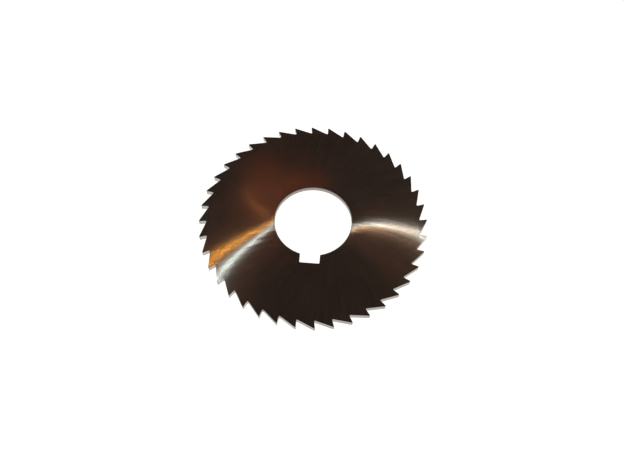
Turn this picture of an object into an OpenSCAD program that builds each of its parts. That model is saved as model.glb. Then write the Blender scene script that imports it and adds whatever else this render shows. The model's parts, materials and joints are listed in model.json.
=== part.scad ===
// Plain slitting saw: one ground disc of high speed steel with a keyed bore.
// Millimetres. The saw lies flat on its side, with the bore axis along +Z,
// the lower side at Z = 0 and the keyway towards -Y.
// Seen from above, the teeth cut counter-clockwise.

/* [Blade] */
// Diameter over the tooth tips
saw_d = 75; // [60:1:100]
// Thickness over the rim land and the hub land
saw_t = 2; // [1.2:0.1:4]

/* [Teeth] */
// Number of teeth
tooth_count = 40; // [28:2:52]
// Depth from a tip to the floor of its gullet
tooth_depth = 2.45; // [1.6:0.05:3]
// Rake angle of the cutting faces
rake_deg = 5; // [0:1:12]
// Width of the land behind each cutting edge
land_w = 0.45; // [0.2:0.05:0.8]
// Relief angle of that land
relief_deg = 9; // [4:1:15]
// Radius in the floor of each gullet
gullet_r = 0.3; // [0.2:0.05:0.6]
// Angle from +X to the first tip
first_tip_deg = 5.5; // [0:0.5:9]

/* [Bore and keyway] */
// Diameter of the bore
bore_d = 25.4; // [16:0.1:32]
// Chamfer on both edges of the bore
bore_chamfer = 0.2; // [0.1:0.05:0.4]
// Width of the keyway
key_w = 6.5; // [4:0.1:8]
// Depth of the keyway beyond the bore wall
key_depth = 2.8; // [2:0.1:4]
// Radius in the two corners of the keyway
key_corner_r = 0.4; // [0.2:0.1:1]

/* [Side grinding] */
// Radial width of the flat clamping land round the bore
hub_land_w = 5.3; // [4:0.1:8]
// Radial width of the flat rim land inside the gullets
rim_land_w = 0.6; // [0.4:0.1:2]
// Depth of the hollow ground into each side, midway between the two lands
hollow_depth = 0.03; // [0.01:0.01:0.1]

/* [Hidden] */
$fn = 180;

// Straight steps in each gullet's round floor
gullet_steps = 8;
// How far a cutting shape reaches past the face that it cuts
overcut = 1;

tip_r = saw_d / 2;
root_r = tip_r - tooth_depth;
pitch_deg = 360 / tooth_count;
bore_r = bore_d / 2;
hub_r = bore_r + hub_land_w;
rim_r = root_r - rim_land_w;
hollow_r = (hub_r + rim_r) / 2;
key_floor = bore_r + key_depth;

function on_circle(r, a) = r * [cos(a), sin(a)];
function turned(p, a) = [p.x * cos(a) - p.y * sin(a), p.x * sin(a) + p.y * cos(a)];
function heading(v) = atan2(v.y, v.x);

// One tooth, with its tip on +X. The cutting face runs in from the tip, and the gullet lies ahead of it.
tip = [tip_r, 0];
face_in = on_circle(1, 180 + rake_deg);
face_out = on_circle(1, 90 + rake_deg);

// The gullet's round floor touches the cutting face and the root circle.
floor_start = tip + gullet_r * face_out;
floor_reach = tip_r * cos(rake_deg)
    - sqrt(pow(tip_r * cos(rake_deg), 2) - floor_start * floor_start + pow(root_r + gullet_r, 2));
floor_centre = floor_start + floor_reach * face_in;

// The back of the next tooth runs straight from the heel of its land to the same round floor.
next_heel = turned(tip - land_w * [sin(relief_deg), cos(relief_deg)], pitch_deg);
heel_to_floor = floor_centre - next_heel;
back_reach = sqrt(heel_to_floor * heel_to_floor - gullet_r * gullet_r);
back_heading = heading(heel_to_floor) - asin(gullet_r / norm(heel_to_floor));
back_foot = next_heel + on_circle(back_reach, back_heading);

face_foot_deg = 270 + rake_deg;
back_foot_deg = (heading(back_foot - floor_centre) + 360) % 360;
floor_step_deg = (back_foot_deg - face_foot_deg) / gullet_steps;

tooth_points = concat(
    [tip],
    [for (i = [0:gullet_steps]) floor_centre + on_circle(gullet_r, face_foot_deg + i * floor_step_deg)],
    [next_heel]
);

// Toothed outline of the whole disc.
module outline() {
    polygon([for (i = [0:tooth_count - 1]) for (p = tooth_points) turned(p, first_tip_deg + i * pitch_deg)]);
}

// Half of the ground section: bore wall with its chamfers, hub land, shallow hollow, rim land.
module section() {
    side = [
        [bore_r, bore_chamfer],
        [bore_r + bore_chamfer, 0],
        [hub_r, 0],
        [hollow_r, hollow_depth],
        [rim_r, 0],
        [tip_r + overcut, 0]
    ];
    last = len(side) - 1;
    other_side = [for (i = [last:-1:0]) [side[i].x, saw_t - side[i].y]];
    polygon(concat(side, other_side));
}

// Keyway seen along the bore: a slot from inside the bore to a floor with two round corners.
module keyway() {
    corner = [key_w / 2 - key_corner_r, key_floor - key_corner_r];
    translate([-key_w / 2, -corner.y]) square([key_w, corner.y]);
    translate([-corner.x, -key_floor]) square([2 * corner.x, key_floor]);
    for (x = [-corner.x, corner.x]) translate([x, -corner.y]) circle(key_corner_r);
}

// The saw is one solid: the ground section, trimmed to the toothed outline and slotted for the key.
module saw_blade() {
    color("#352a25") difference() {
        intersection() {
            rotate_extrude() section();
            translate([0, 0, -overcut]) linear_extrude(saw_t + 2 * overcut) outline();
        }
        translate([0, 0, -overcut]) linear_extrude(saw_t + 2 * overcut) keyway();
    }
}

saw_blade();
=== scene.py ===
import json
from math import asin, atan2, cos, exp, pi, radians, sin, sqrt, tau

import bmesh
import bpy
from mathutils import Matrix, Quaternion, Vector


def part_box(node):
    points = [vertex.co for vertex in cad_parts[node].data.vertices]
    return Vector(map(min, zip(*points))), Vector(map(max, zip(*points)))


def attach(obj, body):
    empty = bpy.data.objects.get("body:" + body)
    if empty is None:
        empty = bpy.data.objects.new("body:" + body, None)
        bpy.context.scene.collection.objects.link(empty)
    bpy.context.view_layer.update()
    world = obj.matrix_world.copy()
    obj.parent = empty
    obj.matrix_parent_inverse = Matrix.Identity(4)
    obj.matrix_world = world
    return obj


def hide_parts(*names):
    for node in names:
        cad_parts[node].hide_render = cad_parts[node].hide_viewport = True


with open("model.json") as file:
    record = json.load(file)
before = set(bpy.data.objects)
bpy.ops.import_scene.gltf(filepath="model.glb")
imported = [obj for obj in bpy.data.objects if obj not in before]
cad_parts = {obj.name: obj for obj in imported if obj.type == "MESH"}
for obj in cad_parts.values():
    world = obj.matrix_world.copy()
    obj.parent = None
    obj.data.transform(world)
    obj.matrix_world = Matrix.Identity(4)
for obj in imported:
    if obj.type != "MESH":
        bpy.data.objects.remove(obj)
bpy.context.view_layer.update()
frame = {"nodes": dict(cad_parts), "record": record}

# Saw blade
# One disc of high speed steel, blanked, hardened and ground on both sides with a very shallow hollow.
# Its teeth are cut and ground into the rim, and its bore and keyway take the milling arbor and its key.
mm = 0.001
blade_low, blade_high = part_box("saw_blade")
mid_height = (blade_low.z + blade_high.z) / 2
half_thickness = (blade_high.z - blade_low.z) / 2
tip_radius = max(vert.co.xy.length for vert in frame["nodes"]["saw_blade"].data.vertices)
bore_mount = next(mount for mount in frame["record"]["mounts"] if mount["name"] == "bore")
bore_radius = bore_mount["dims"]["r_mm"] * mm
bore_chamfer = 0.2 * mm
hub_land = 5.3 * mm
rim_land = 0.6 * mm
hollow_depth = 0.03 * mm
tooth_count = 40
tooth_depth = 2.45 * mm
first_tip = radians(5.5)
rake = radians(5)
land_width = 0.45 * mm
land_relief = radians(9)
gullet_radius = 0.3 * mm
gullet_steps = 8
arc_steps = 6
keyway_width = 6.5 * mm
keyway_depth = 2.8 * mm
keyway_corner = 0.4 * mm
keyway_corner_steps = 4
weld = 0.002 * mm
cut_slack = weld / 10
sharp_turn = radians(20)

up = Vector((0, 0, 1))
axis_foot = Vector((0, 0, 0))
pitch = tau / tooth_count
root_radius = tip_radius - tooth_depth
rim_radius = root_radius - rim_land
hub_radius = bore_radius + hub_land
hollow_radius = (hub_radius + rim_radius) / 2

# Each face's finish, in the order in which the finishes are made below.
FLANK, TOOTH_FACE, TOOTH_BACK, LAND, BORE, BORE_EDGE, KEYWAY = range(7)


def on_circle(radius, angle):
    return Vector((radius * cos(angle), radius * sin(angle), 0))


def turned(point, angle):
    return Matrix.Rotation(angle, 3, up) @ point


def angle_of(vert):
    return atan2(vert.co.y, vert.co.x)


# The gullet's round floor touches the cutting face and the root circle.
tip_on_x = Vector((tip_radius, 0, 0))
face_in = on_circle(1, pi + rake)
floor_start = tip_on_x + on_circle(gullet_radius, pi / 2 + rake)
face_line = tip_radius * cos(rake)
floor_reach = face_line - sqrt(
    face_line**2 - floor_start.length_squared + (root_radius + gullet_radius) ** 2
)
floor_on_x = floor_start + floor_reach * face_in

# The back of the next tooth runs straight from the heel of its land to the same round floor.
heel_on_x = tip_on_x - land_width * Vector((sin(land_relief), cos(land_relief), 0))
heel = turned(heel_on_x, pitch)
to_floor = floor_on_x - heel
back_length = sqrt(to_floor.length_squared - gullet_radius**2)
back_heading = atan2(to_floor.y, to_floor.x) - asin(gullet_radius / to_floor.length)
back_foot = heel + on_circle(back_length, back_heading)
foot_from_floor = back_foot - floor_on_x
face_foot_angle = 3 * pi / 2 + rake
floor_turn = atan2(foot_from_floor.y, foot_from_floor.x) % tau - face_foot_angle

# One tooth's outline on the upper side, from one gullet's floor to the next.
blade = bmesh.new()
top = blade_high.z * up
tip = turned(tip_on_x, pitch)
floor_centre = turned(floor_on_x, pitch)
face_foot = floor_centre + on_circle(gullet_radius, face_foot_angle + pitch)
back_vert = blade.verts.new(back_foot + top)
heel_vert = blade.verts.new(heel + top)
tip_vert = blade.verts.new(tip + top)
face_vert = blade.verts.new(face_foot + top)
back_edge = blade.edges.new((back_vert, heel_vert))
land_edge = blade.edges.new((heel_vert, tip_vert))
face_edge = blade.edges.new((tip_vert, face_vert))
corner_verts = [face_vert, tip_vert, heel_vert, back_vert]
straight_edges = [back_edge, land_edge, face_edge]
bmesh.ops.spin(
    blade, geom=[face_vert], cent=floor_centre, axis=up, angle=floor_turn, steps=gullet_steps
)
gullet_edges = [edge for edge in blade.edges if edge not in straight_edges]
gullet_verts = [vert for vert in blade.verts if vert not in corner_verts]
gullet_verts.sort(key=angle_of, reverse=True)

# The same sector of the ground side, from the rim land in to the middle of the bore wall.
sector_start = atan2(back_foot.y, back_foot.x)
section = [
    (rim_radius, blade_high.z),
    (hollow_radius, blade_high.z - hollow_depth),
    (hub_radius, blade_high.z),
    (bore_radius + bore_chamfer, blade_high.z),
    (bore_radius, blade_high.z - bore_chamfer),
    (bore_radius, mid_height),
]
section_verts = [blade.verts.new(on_circle(radius, sector_start) + z * up) for radius, z in section]
section_edges = [blade.edges.new(pair) for pair in zip(section_verts, section_verts[1:])]
bmesh.ops.spin(
    blade, geom=section_verts + section_edges, cent=axis_foot, axis=up, angle=pitch, steps=arc_steps
)
for face in blade.faces:
    face_radius = face.calc_center_median().xy.length
    if face_radius < bore_radius:
        face.material_index = BORE
    elif face_radius < bore_radius + bore_chamfer:
        face.material_index = BORE_EDGE
    else:
        face.material_index = FLANK

# The tooth's own side joins the rim land to the outline.
rim_arc = [vert for vert in blade.verts if abs(vert.co.xy.length - rim_radius) < weld]
rim_arc.sort(key=angle_of)
blade.faces.new(rim_arc + gullet_verts + corner_verts)

# The tooth's walls go down to the middle plane, and the lower half mirrors the upper one.
walls = ((face_edge,), TOOTH_FACE), ((land_edge,), LAND), ((back_edge, *gullet_edges), TOOTH_BACK)
for edges, finish in walls:
    wall = bmesh.ops.extrude_edge_only(blade, edges=list(edges))["geom"]
    wall_verts = [part for part in wall if isinstance(part, bmesh.types.BMVert)]
    wall_faces = [part for part in wall if isinstance(part, bmesh.types.BMFace)]
    bmesh.ops.translate(blade, verts=wall_verts, vec=-half_thickness * up)
    for face in wall_faces:
        face.material_index = finish
upper_half = blade.verts[:] + blade.edges[:] + blade.faces[:]
from_middle = Matrix.Translation(-mid_height * up)
bmesh.ops.mirror(blade, geom=upper_half, matrix=from_middle, axis="Z", merge_dist=weld)

# The sector goes round once for each tooth.
to_first_tip = Matrix.Rotation(first_tip, 3, up)
bmesh.ops.rotate(blade, verts=blade.verts[:], cent=axis_foot, matrix=to_first_tip)
bmesh.ops.spin(
    blade,
    geom=blade.verts[:] + blade.edges[:] + blade.faces[:],
    cent=axis_foot,
    axis=up,
    angle=tau - pitch,
    steps=tooth_count - 1,
    use_duplicate=True,
)
bmesh.ops.remove_doubles(blade, verts=blade.verts[:], dist=weld)
bmesh.ops.recalc_face_normals(blade, faces=blade.faces[:])

# The keyway is cut out of the ring between the bore and the hub land's edge.
keyway_floor = -(bore_radius + keyway_depth)
corner_x = keyway_width / 2 - keyway_corner
corner_y = keyway_floor + keyway_corner
keyway_planes = [(Vector((0, keyway_floor, 0)), Vector((0, -1, 0)))]
for hand in (-1, 1):
    corner = Vector((hand * corner_x, corner_y, 0))
    keyway_planes.append((corner + hand * Vector((keyway_corner, 0, 0)), Vector((hand, 0, 0))))
    for step in range(1, keyway_corner_steps):
        slant = step / keyway_corner_steps * pi / 2
        facing = Vector((hand * cos(slant), -sin(slant), 0))
        keyway_planes.append((corner + keyway_corner * facing, facing))


def near_keyway(face):
    centre = face.calc_center_median()
    return centre.y < 0 and abs(centre.x) < keyway_width and centre.xy.length < hub_radius


def in_keyway(face):
    centre = face.calc_center_median()
    return near_keyway(face) and all((centre - place).dot(facing) < 0 for place, facing in keyway_planes)


for place, facing in keyway_planes:
    cut_faces = [face for face in blade.faces if near_keyway(face)]
    cut_edges = list({edge for face in cut_faces for edge in face.edges})
    cut_verts = list({vert for face in cut_faces for vert in face.verts})
    bmesh.ops.bisect_plane(
        blade, geom=cut_verts + cut_edges + cut_faces, dist=cut_slack, plane_co=place, plane_no=facing
    )
bmesh.ops.delete(blade, geom=[face for face in blade.faces if in_keyway(face)], context="FACES")
open_edges = [edge for edge in blade.edges if edge.is_boundary]
slot_rims = [edge for edge in open_edges if abs(edge.verts[0].co.z - edge.verts[1].co.z) < weld]
slot_walls = bmesh.ops.bridge_loops(blade, edges=slot_rims)["faces"]
slot_ends = [edge for edge in blade.edges if edge.is_boundary]
slot_walls += bmesh.ops.holes_fill(blade, edges=slot_ends, sides=0)["faces"]
for face in slot_walls:
    face.material_index = KEYWAY
bmesh.ops.remove_doubles(blade, verts=blade.verts[:], dist=weld)
bmesh.ops.recalc_face_normals(blade, faces=blade.faces[:])

blade_mesh = bpy.data.meshes.new("saw_blade_ground")
blade.to_mesh(blade_mesh)
blade.free()
blade_mesh.polygons.foreach_set("use_smooth", [True] * len(blade_mesh.polygons))
blade_mesh.set_sharp_from_angle(angle=sharp_turn)
blade_piece = bpy.data.objects.new("saw_blade_ground", blade_mesh)
bpy.context.scene.collection.objects.link(blade_piece)


def new_finish(name):
    finish = bpy.data.materials.new(name)
    finish.use_nodes = True
    blade_mesh.materials.append(finish)
    return finish.node_tree, finish.node_tree.nodes["Principled BSDF"]


def feed(tree, socket, value):
    if isinstance(value, bpy.types.NodeSocket):
        tree.links.new(value, socket)
    else:
        socket.default_value = value


def add(tree, kind, *inputs, **options):
    node = tree.nodes.new(kind)
    for option, value in options.items():
        setattr(node, option, value)
    for socket, value in zip(node.inputs, inputs):
        feed(tree, socket, value)
    return node.outputs[0]


def maths(tree, operation, *inputs):
    return add(tree, "ShaderNodeMath", *inputs, operation=operation)


def vectors(tree, operation, *inputs):
    return add(tree, "ShaderNodeVectorMath", *inputs, operation=operation)


def scaled(tree, vector, amount):
    node = tree.nodes.new("ShaderNodeVectorMath")
    node.operation = "SCALE"
    feed(tree, node.inputs["Vector"], vector)
    feed(tree, node.inputs["Scale"], amount)
    return node.outputs[0]


def noise(tree, place, detail, roughness=0.5):
    node = tree.nodes.new("ShaderNodeTexNoise")
    feed(tree, node.inputs["Vector"], place)
    node.inputs["Scale"].default_value = 1
    node.inputs["Detail"].default_value = detail
    node.inputs["Roughness"].default_value = roughness
    return node.outputs[0]


def between(tree, amount, low, high, start=0.0, end=1.0):
    node = tree.nodes.new("ShaderNodeMapRange")
    feed(tree, node.inputs["Value"], amount)
    node.inputs["From Min"].default_value = start
    node.inputs["From Max"].default_value = end
    node.inputs["To Min"].default_value = low
    node.inputs["To Max"].default_value = high
    return node.outputs[0]


def blend_colours(tree, amount, first, second):
    node = tree.nodes.new("ShaderNodeMix")
    node.data_type = "RGBA"
    feed(tree, node.inputs["Factor"], amount)
    colours = [socket for socket in node.inputs if socket.type == "RGBA"]
    feed(tree, colours[0], first)
    feed(tree, colours[1], second)
    return next(socket for socket in node.outputs if socket.type == "RGBA")


def object_place(tree):
    return tree.nodes.new("ShaderNodeTexCoord").outputs["Object"]


# The sides are ground while the saw turns slowly, so each scratch sweeps outwards in a shallow spiral.
# The steel stays dark where it is seen edge on, and a thin film of oil lies on it.
# A span is the stretch of a noise that takes what follows it from its least to its most.
flank_dark = (0.066, 0.0525, 0.0457, 1)
flank_light = (0.110, 0.0875, 0.0763, 1)
flank_edge_tint = (0.5, 0.45, 0.42, 1)
flank_finest = 0.175
flank_coarsest = 0.26
flank_grain = 1.0
oil_film = 0.12
oil_roughness = 0.065
scratch_lead = -0.3273
scratch_miss = 2.745 * mm
hub_curl = 0.0292
hub_crown = 0.0024
hub_power = 5
scratch_count = 440
scratch_length = 14 * mm
scratch_detail = 4
scratch_raggedness = 0.65
scratch_turn = 0.07
scratch_turn_power = 4
scratch_turn_span = (0.25, 0.75)
hair_count = 5000
hair_length = 120 * mm
hair_detail = 2
hair_folds = 12
hair_slope = 0.37
hair_sharpness = 0.5
depth_fineness = 0.6
depth_detail = 3
depth_span = (0.3, 0.7)
cloud_size = 14 * mm
cloud_detail = 2
cloud_share = 0.3
shade_span = (0.37, 0.63)

# Where a point of the side lies: on which side, how far from the axis, and which way is out.
tree, shader = new_finish("flank_ground")
place = object_place(tree)
height = add(tree, "ShaderNodeSeparateXYZ", place).node.outputs["Z"]
side = maths(tree, "SIGN", maths(tree, "SUBTRACT", height, mid_height))
flat = vectors(tree, "MULTIPLY", place, (1, 1, 0))
reach = vectors(tree, "LENGTH", flat).node.outputs["Value"]
outward = vectors(tree, "NORMALIZE", flat)
aside = vectors(tree, "CROSS_PRODUCT", up, outward)
near_bore = maths(tree, "DIVIDE", hub_radius, reach)
hub_share = maths(tree, "POWER", near_bore, hub_power)

# A scratch leans by the spiral's lead, by passing beside the axis and by a curl at the hub.
missed = maths(tree, "DIVIDE", scratch_miss, reach)
curl = maths(tree, "MULTIPLY", hub_share, hub_curl)
lean = maths(tree, "ADD", maths(tree, "ADD", missed, curl), scratch_lead)
slope = maths(tree, "MULTIPLY", side, lean)
scratch = vectors(tree, "NORMALIZE", vectors(tree, "ADD", outward, scaled(tree, aside, slope)))
across = vectors(tree, "CROSS_PRODUCT", up, scratch)

# All points of a scratch unwind to one root, so noise round the roots is drawn out along the scratches.
wound = maths(tree, "MULTIPLY", maths(tree, "LOGARITHM", reach, exp(1)), scratch_lead)
curled = maths(tree, "ADD", missed, maths(tree, "DIVIDE", curl, hub_power))
unwound = maths(tree, "MULTIPLY", side, maths(tree, "SUBTRACT", curled, wound))
outward_share = scaled(tree, outward, maths(tree, "COSINE", unwound))
aside_share = scaled(tree, aside, maths(tree, "SINE", unwound))
root = vectors(tree, "ADD", outward_share, aside_share)
scratch_along = scaled(tree, up, maths(tree, "DIVIDE", reach, scratch_length))
scratch_place = vectors(tree, "ADD", scaled(tree, root, scratch_count / tau), scratch_along)
scratches = noise(tree, scratch_place, scratch_detail, scratch_raggedness)
hair_along = scaled(tree, up, maths(tree, "DIVIDE", reach, hair_length))
hair_place = vectors(tree, "ADD", scaled(tree, root, hair_count / tau), hair_along)

# The scratches wander a little from their course, most of all near the bore.
loose = maths(tree, "POWER", near_bore, scratch_turn_power)
stray = between(tree, scratches, -scratch_turn, scratch_turn, *scratch_turn_span)
wander = maths(tree, "MULTIPLY", loose, stray)
tangent = vectors(tree, "NORMALIZE", vectors(tree, "ADD", across, scaled(tree, scratch, wander)))

# Hair-fine grooves tilt the steel steeply to one side or the other of a scratch, and some are coarser.
depths = noise(tree, scaled(tree, hair_place, depth_fineness), depth_detail)
coarseness = between(tree, depths, flank_finest, flank_coarsest, *depth_span)
hairs = noise(tree, hair_place, hair_detail)
grooves = maths(tree, "PINGPONG", maths(tree, "MULTIPLY", hairs, hair_folds), 1)
swing = between(tree, grooves, -1, 1)
steepness = maths(tree, "POWER", maths(tree, "ABSOLUTE", swing), hair_sharpness)
sideways = maths(tree, "MULTIPLY", maths(tree, "SIGN", swing), steepness)
tilt = maths(tree, "MULTIPLY", sideways, hair_slope)

# The hub land is very slightly crowned, so the steel near the bore faces outwards a little.
facing_out = tree.nodes.new("ShaderNodeNewGeometry").outputs["Normal"]
crown = scaled(tree, outward, maths(tree, "MULTIPLY", hub_share, hub_crown))
crowned = vectors(tree, "ADD", facing_out, crown)
tilted = vectors(tree, "NORMALIZE", vectors(tree, "ADD", crowned, scaled(tree, tangent, tilt)))

# The colour follows the scratches, with faint clouds left by the tempering.
clouds = noise(tree, scaled(tree, place, 1 / cloud_size), cloud_detail)
scratch_part = maths(tree, "MULTIPLY", scratches, 1 - cloud_share)
cloud_part = maths(tree, "MULTIPLY", clouds, cloud_share)
shade = between(tree, maths(tree, "ADD", scratch_part, cloud_part), 0, 1, *shade_span)
feed(tree, shader.inputs["Base Color"], blend_colours(tree, shade, flank_dark, flank_light))
feed(tree, shader.inputs["Roughness"], coarseness)
feed(tree, shader.inputs["Tangent"], tangent)
feed(tree, shader.inputs["Normal"], tilted)
shader.inputs["Metallic"].default_value = 1
shader.inputs["Specular Tint"].default_value = flank_edge_tint
shader.inputs["Anisotropic"].default_value = flank_grain
shader.inputs["Coat Weight"].default_value = oil_film
shader.inputs["Coat Roughness"].default_value = oil_roughness

# The teeth and the bore are ground bright, and the chamfers of the bore are darker.
# The grinding lines run round the walls, close together from one side of the saw to the other.
wall_lines = (300, 300, 9000)
wall_detail = 3
wall_mottle = 0.18
for name, colour, roughness in (
    ("tooth_face_ground", (0.40, 0.40, 0.40), 0.25),
    ("tooth_back_ground", (0.33, 0.33, 0.325), 0.25),
    ("tooth_land_ground", (0.28, 0.28, 0.275), 0.3),
    ("bore_ground", (0.285, 0.27, 0.255), 0.25),
    ("bore_chamfer_dark", (0.12, 0.105, 0.095), 0.35),
    ("keyway_broached", (0.24, 0.23, 0.22), 0.35),
):
    tree, shader = new_finish(name)
    lines = noise(tree, vectors(tree, "MULTIPLY", object_place(tree), wall_lines), wall_detail)
    dark = tuple((1 - wall_mottle) * channel for channel in colour) + (1,)
    light = tuple((1 + wall_mottle) * channel for channel in colour) + (1,)
    feed(tree, shader.inputs["Base Color"], blend_colours(tree, lines, dark, light))
    shader.inputs["Metallic"].default_value = 1
    shader.inputs["Roughness"].default_value = roughness

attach(blade_piece, "root")
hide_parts("saw_blade")

# Floor
# A plain pale table top that the saw lies on, with the saw's own soft shadow.
# It is a stage and no part of the saw.
floor_half = 3.0
floor_drop = 0.02 * mm
floor_pale = (0.45, 0.45, 0.45, 1)
floor_white = (1, 1, 1, 1)
floor_glow = 0.84
floor_sheet = bmesh.new()
bmesh.ops.create_grid(floor_sheet, x_segments=1, y_segments=1, size=floor_half)
bmesh.ops.translate(floor_sheet, verts=floor_sheet.verts[:], vec=(blade_low.z - floor_drop) * up)
floor_mesh = bpy.data.meshes.new("floor")
floor_sheet.to_mesh(floor_mesh)
floor_sheet.free()
floor = bpy.data.objects.new("floor", floor_mesh)
bpy.context.scene.collection.objects.link(floor)


def seen_rays(tree):
    rays = tree.nodes.new("ShaderNodeLightPath").outputs
    seen = maths(tree, "MAXIMUM", rays["Is Camera Ray"], rays["Is Glossy Ray"])
    return maths(tree, "MAXIMUM", seen, rays["Is Transmission Ray"])


floor_finish = bpy.data.materials.new("floor_pale")
floor_finish.use_nodes = True
tree = floor_finish.node_tree
shader = tree.nodes["Principled BSDF"]
shader.inputs["Base Color"].default_value = floor_pale
shader.inputs["Roughness"].default_value = 1
shader.inputs["Specular IOR Level"].default_value = 0
shader.inputs["Emission Color"].default_value = floor_white
feed(tree, shader.inputs["Emission Strength"], maths(tree, "MULTIPLY", seen_rays(tree), floor_glow))
floor_mesh.materials.append(floor_finish)

# Studio light
# A dim ceiling over a white horizon, three small lamps and two dim cards overhead, and a red shade behind.
# The scratches draw each lamp out into a bright arm on either side of the bore.
ceiling = (0.205, 0.158, 0.130, 1)
horizon = (1, 1, 1, 1)
horizon_top = sin(radians(7))
ceiling_start = sin(radians(28))
world = bpy.data.worlds.new("studio")
bpy.context.scene.world = world
world.use_nodes = True
tree = world.node_tree
heading = tree.nodes.new("ShaderNodeTexCoord").outputs["Generated"]
rise = add(tree, "ShaderNodeSeparateXYZ", heading).node.outputs["Z"]
lift = between(tree, rise, 0, 1, horizon_top, ceiling_start)
feed(tree, tree.nodes["Background"].inputs["Color"], blend_colours(tree, lift, horizon, ceiling))

saw_middle = Vector((0, 0, blade_high.z))
spot_width = radians(12)


def hang(light, place, target, power, colour):
    light.energy = power
    light.color = colour
    lamp = bpy.data.objects.new(light.name, light)
    lamp.location = place
    lamp.rotation_euler = (target - place).to_track_quat("-Z", "Y").to_euler()
    bpy.context.scene.collection.objects.link(lamp)


def hang_card(name, place, radius, power, colour, depth=1.0):
    light = bpy.data.lights.new(name, "AREA")
    light.shape = "ELLIPSE"
    light.size = 2 * radius
    light.size_y = 2 * radius * depth
    hang(light, Vector(place), saw_middle, power, colour)


def hang_spot(name, place, target, radius, power, colour):
    light = bpy.data.lights.new(name, "SPOT")
    light.shadow_soft_size = radius
    light.spot_size = spot_width
    light.spot_blend = 1
    hang(light, Vector(place), Vector(target), power, colour)


# The warm lamp is turned to the left of the bore, and the tan lamp to its right.
hang_card("cool_lamp", (0.002, -0.046, 0.6), radius=0.005, power=0.92, colour=(0.68, 0.95, 1.0))
warm_orange = (1.0, 0.49, 0.05)
warm_target = (-0.030, -0.012, 0)
hang_spot("warm_lamp", (-0.042, -0.141, 0.8), warm_target, radius=0.028, power=6.5, colour=warm_orange)
tan_pale = (1.0, 0.76, 0.50)
tan_target = (0.030, -0.002, 0)
hang_spot("tan_lamp", (-0.027, -0.046, 0.6), tan_target, radius=0.028, power=0.62, colour=tan_pale)
hang_card("tan_card", (-0.092, 0.110, 1.2), radius=0.166, power=0.37, colour=(1.0, 0.49, 0.22))
hang_card("dim_card", (0.070, -0.102, 1.2), radius=0.267, power=0.29, colour=(1.0, 0.48, 0.26))

# The red shade is dimmer towards its edge: three discs of one glow, each wider one a step higher.
shade_red = (1.0, 0.17, 0.04)
shade_place = Vector((-0.131, 0.612, 1))
shade_radii = (0.032, 0.045, 0.056)
shade_glow = 2.0
shade_depth = 1.3
shade_step = 0.004
for number, radius in enumerate(shade_radii):
    power = shade_glow * (pi * radius) ** 2 * shade_depth
    disc_place = shade_place + number * shade_step * up
    hang_card(f"red_shade_{number}", disc_place, radius, power, shade_red, shade_depth)
hang_card("red_band", (-0.052, 0.634, 0.99), radius=0.045, power=0.038, colour=shade_red, depth=0.4)
hang_card("amber_card", (-0.157, 0.556, 0.97), radius=0.040, power=0.028, colour=(1.0, 0.38, 0.10))

# An amber rim runs along the shade's near left edge and brightens towards its near end.
rim_amber = (1.0, 0.38, 0.06)
rim_centre = Vector((-0.118, 0.594, 0.98))
rim_reach = 0.046
rim_start = radians(175)
rim_turn = radians(85)
rim_lamp_count = 8
rim_lamp_radius = 0.005
rim_dimmest = 0.0023
rim_brightest = 0.0100
for number in range(rim_lamp_count):
    share = number / (rim_lamp_count - 1)
    rim_place = rim_centre + on_circle(rim_reach, rim_start + rim_turn * share)
    power = rim_dimmest + (rim_brightest - rim_dimmest) * share
    hang_card(f"amber_rim_{number}", rim_place, rim_lamp_radius, power, rim_amber)

# Camera
# It stands in front of the saw and looks steeply down on it.
# Its place, aim and lens follow from the bore's and the tips' places in the view.
camera_place = Vector((7.045, -112.989, 206.831)) * mm
camera_aim = Vector((-0.078, -3.591, 2.0)) * mm
camera_roll = radians(1.118)
camera_nearest = 10 * mm
sensor_width = 36
lens_length = 41.058
camera_data = bpy.data.cameras.new("camera")
camera_data.sensor_width = sensor_width
camera_data.lens = lens_length
camera_data.clip_start = camera_nearest
camera = bpy.data.objects.new("camera", camera_data)
camera.location = camera_place
camera_turn = (camera_aim - camera_place).to_track_quat("-Z", "Y")
camera.rotation_euler = (camera_turn @ Quaternion(up, camera_roll)).to_euler()
bpy.context.scene.collection.objects.link(camera)
bpy.context.scene.camera = camera
bpy.context.scene.view_settings.view_transform = "Standard"
